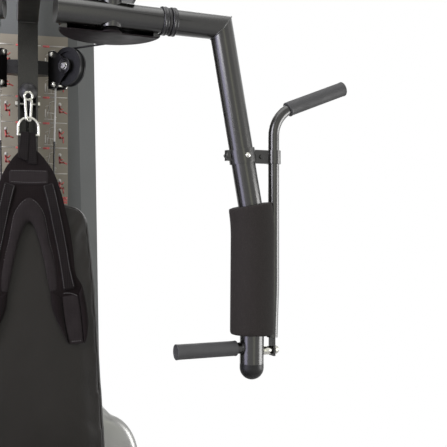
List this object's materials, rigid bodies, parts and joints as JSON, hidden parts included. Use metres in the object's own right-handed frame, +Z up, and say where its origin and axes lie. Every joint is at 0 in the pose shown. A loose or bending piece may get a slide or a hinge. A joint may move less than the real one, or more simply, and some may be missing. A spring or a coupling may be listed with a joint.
{
  "type": "multi station home gym",
  "caption": "multi station home gym with butterfly and press arms, lat bar, abdominal harness, backrest, seat, leg developer and a covered weight stack",
  "frame": {"origin": "on the floor at the middle of the base, under the whole machine's bounding box", "axes": "+Z up, the seated user faces -Y with the weight stack behind at +Y, +X to the right of a viewer who faces the machine"},
  "size_m": [1.615, 1.3, 2.115],
  "materials": {
    "frame_paint": "satin",
    "shroud_paint": "satin",
    "bright_steel": "satin",
    "chromed_steel": "polished",
    "cast_plates": "satin",
    "black_plastic": "matte",
    "housing_plastic": "satin",
    "chart_print": "satin",
    "black_rubber": "matte",
    "black_foam": "matte",
    "black_vinyl": "satin",
    "webbing": "matte",
    "cable_sleeve": "satin"
  },
  "bodies": {
    "frame": {"base_beam": "frame_paint", "stabilisers": "frame_paint", "tube_end_caps": "black_plastic", "rubber_feet": "black_rubber", "front_post": "frame_paint", "rear_upright": "frame_paint", "top_boom": "frame_paint", "frame_brackets": "frame_paint", "frame_bolts": "bright_steel", "arm_carrier": "frame_paint", "pivot_spindles": "bright_steel", "guide_rods": "chromed_steel", "shroud": "shroud_paint", "exercise_chart": "chart_print", "lower_housing": "housing_plastic", "backrest_pad": "black_vinyl", "seat_frame": "frame_paint", "upper_foam_rollers": "black_foam", "butterfly_cable": "cable_sleeve", "lat_cable": "cable_sleeve", "ab_cable": "cable_sleeve", "resting_plates": "cast_plates"},
    "sleeve_right": {"cam_sleeve_right": "frame_paint"},
    "arm_right": {"collar_rings_right": "black_plastic", "arm_tube_right": "frame_paint", "arm_end_cap_right": "black_plastic", "foam_pad_right": "black_foam", "hand_grips_right": "black_rubber", "upper_handle_right": "frame_paint", "handle_clamp_right": "frame_paint"},
    "sleeve_left": {"cam_sleeve_left": "frame_paint"},
    "arm_left": {"collar_rings_left": "black_plastic", "arm_tube_left": "frame_paint", "arm_end_cap_left": "black_plastic", "foam_pad_left": "black_foam", "hand_grips_left": "black_rubber", "upper_handle_left": "frame_paint", "handle_clamp_left": "frame_paint"},
    "wheel_arm_pulley_right": {"arm_pulley_right": "black_plastic"},
    "wheel_arm_pulley_left": {"arm_pulley_left": "black_plastic"},
    "wheel_ab_pulley": {"ab_pulley": "black_plastic"},
    "wheel_lat_front_pulley": {"lat_front_pulley": "black_plastic"},
    "wheel_lat_rear_pulley": {"lat_rear_pulley": "black_plastic"},
    "wheel_equaliser_pulley": {"equaliser_pulley": "black_plastic"},
    "carriage": {"lifted_plates": "cast_plates", "top_plate": "cast_plates", "selector_stem": "bright_steel"},
    "selector": {"selector_pin": "black_plastic"},
    "ab_line": {"ball_stop": "black_rubber", "snap_hook": "bright_steel", "d_ring": "bright_steel"},
    "harness": {"ab_harness": "webbing"},
    "seat": {"seat_pad": "black_vinyl", "seat_post": "frame_paint"},
    "seat_lock": {"seat_knob": "black_plastic"},
    "leg": {"leg_lever": "frame_paint", "lower_foam_rollers": "black_foam"},
    "lat_swivel": {"lat_link": "bright_steel"},
    "lat": {"lat_bar": "chromed_steel", "lat_grips": "black_rubber"}
  },
  "joints": [
    {"name": "butterfly_right", "type": "hinge", "parent": "frame", "child": "sleeve_right", "pos_m": [0.182, -0.106, 1.695], "axis": [0, 0, -1], "range_deg": [0, 95]},
    {"name": "press_right", "type": "hinge", "parent": "sleeve_right", "child": "arm_right", "pos_m": [0.182, -0.106, 1.695], "axis": [0.9877, 0.1564, 0], "range_deg": [-35, 0]},
    {"name": "arm_pulley_spin_right", "type": "hinge", "parent": "frame", "child": "wheel_arm_pulley_right", "pos_m": [0.104, 0.16, 1.625], "axis": [-0.7517, -0.6595, 0], "continuous": true},
    {"name": "butterfly_left", "type": "hinge", "parent": "frame", "child": "sleeve_left", "pos_m": [-0.182, -0.106, 1.695], "axis": [0, 0, 1], "range_deg": [0, 95]},
    {"name": "press_left", "type": "hinge", "parent": "sleeve_left", "child": "arm_left", "pos_m": [-0.182, -0.106, 1.695], "axis": [0.9877, -0.1564, 0], "range_deg": [-35, 0]},
    {"name": "arm_pulley_spin_left", "type": "hinge", "parent": "frame", "child": "wheel_arm_pulley_left", "pos_m": [-0.104, 0.16, 1.625], "axis": [-0.7517, 0.6595, 0], "continuous": true},
    {"name": "ab_pulley_spin", "type": "hinge", "parent": "frame", "child": "wheel_ab_pulley", "pos_m": [0, 0.1866, 1.5284], "axis": [1, 0, 0], "continuous": true},
    {"name": "lat_front_pulley_spin", "type": "hinge", "parent": "frame", "child": "wheel_lat_front_pulley", "pos_m": [0, -0.317, 2.0307], "axis": [1, 0, 0], "continuous": true},
    {"name": "lat_rear_pulley_spin", "type": "hinge", "parent": "frame", "child": "wheel_lat_rear_pulley", "pos_m": [0, 0.3382, 2.0307], "axis": [1, 0, 0], "continuous": true},
    {"name": "equaliser_spin", "type": "hinge", "parent": "frame", "child": "wheel_equaliser_pulley", "pos_m": [0, 0.245, 0.3], "axis": [0, 1, 0], "continuous": true},
    {"name": "weight_lift", "type": "slide", "parent": "frame", "child": "carriage", "axis": [0, 0, 1], "range_m": [0, 0.9]},
    {"name": "selector_pin_pull", "type": "slide", "parent": "carriage", "child": "selector", "axis": [0, 1, 0], "range_m": [0, 0.06]},
    {"name": "lat_pull", "type": "slide", "parent": "frame", "child": "lat_swivel", "axis": [0, 0, 1], "range_m": [-0.9, 0]},
    {"name": "lat_bar_swivel", "type": "hinge", "parent": "lat_swivel", "child": "lat", "pos_m": [0, -0.3638, 1.877], "axis": [0, 0, 1], "range_deg": [-45, 45]},
    {"name": "ab_pull", "type": "slide", "parent": "frame", "child": "ab_line", "axis": [0, -0.6428, -0.766], "range_m": [0, 0.18], "stiffness_N_per_m": 200, "springref_m": -0.25},
    {"name": "harness_swing", "type": "hinge", "parent": "ab_line", "child": "harness", "pos_m": [0, 0.1, 1.4373], "axis": [-1, 0, 0], "range_deg": [0, 8]},
    {"name": "seat_height", "type": "slide", "parent": "frame", "child": "seat", "axis": [0, 0, 1], "range_m": [0, 0.08]},
    {"name": "seat_knob_turn", "type": "hinge", "parent": "frame", "child": "seat_lock", "pos_m": [0.025, -0.225, 0.37], "axis": [1, 0, 0], "continuous": true},
    {"name": "leg_swing", "type": "hinge", "parent": "frame", "child": "leg", "pos_m": [0, -0.53, 0.325], "axis": [-1, 0, 0], "range_deg": [0, 80]}
  ],
  "couplings": [
    {"joint": "lat_pull", "follows": "weight_lift", "ratio": -1}
  ]
}
